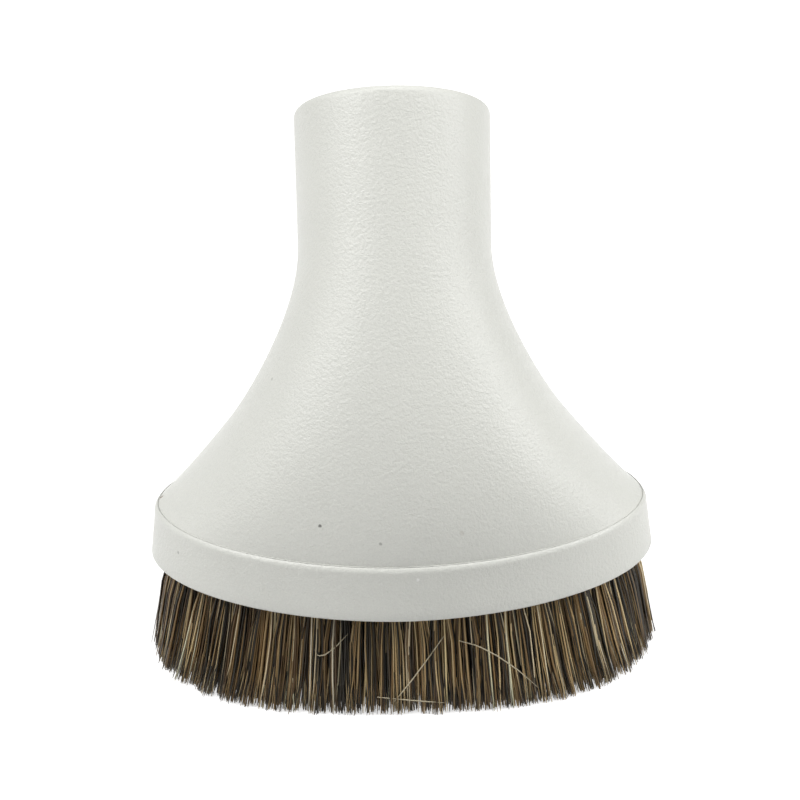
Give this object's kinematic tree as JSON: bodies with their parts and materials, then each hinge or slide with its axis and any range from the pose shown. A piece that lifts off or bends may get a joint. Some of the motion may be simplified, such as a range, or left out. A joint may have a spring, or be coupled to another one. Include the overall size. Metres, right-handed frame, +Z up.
{
  "type": "vacuum dusting brush",
  "caption": "Vacuum dusting brush: a moulded shell flares from a round, leaning socket to an oval skirt that holds a ring of natural hair tufts.",
  "frame": {"origin": "middle of the brush's box at its base, level with the lowest hair tips", "axes": "+Z up with the brush standing on its hair, -Y towards the front of the brush, and the socket leans towards +Y"},
  "size_m": [0.1002, 0.0771, 0.1125],
  "materials": {
    "shell_plastic": "moulded off-white plastic with a fine leather grain, satin",
    "ring_plastic": "smooth moulded plastic, satin",
    "hair": "natural hair, black, brown, tan and pale strands mixed",
    "anchor_wire": "flat cut wire"
  },
  "bodies": {
    "root": {"shell": "shell_plastic", "brush_ring": "ring_plastic", "tuft_anchors": "anchor_wire", "tuft_01": "hair", "tuft_02": "hair", "tuft_03": "hair", "tuft_04": "hair", "tuft_05": "hair", "tuft_06": "hair", "tuft_07": "hair", "tuft_08": "hair", "tuft_09": "hair", "tuft_10": "hair", "tuft_11": "hair", "tuft_12": "hair", "tuft_13": "hair", "tuft_14": "hair", "tuft_15": "hair", "tuft_16": "hair", "tuft_17": "hair", "tuft_18": "hair", "tuft_19": "hair", "tuft_20": "hair", "tuft_21": "hair", "tuft_22": "hair", "tuft_23": "hair", "tuft_24": "hair", "tuft_25": "hair", "tuft_26": "hair", "tuft_27": "hair", "tuft_28": "hair", "tuft_29": "hair", "tuft_30": "hair", "tuft_31": "hair", "tuft_32": "hair", "tuft_33": "hair", "tuft_34": "hair", "tuft_35": "hair", "tuft_36": "hair", "tuft_37": "hair", "tuft_38": "hair", "tuft_39": "hair", "tuft_40": "hair", "tuft_41": "hair", "tuft_42": "hair", "tuft_43": "hair", "tuft_44": "hair", "tuft_45": "hair", "tuft_46": "hair", "tuft_47": "hair", "tuft_48": "hair"}
  },
  "joints": []
}
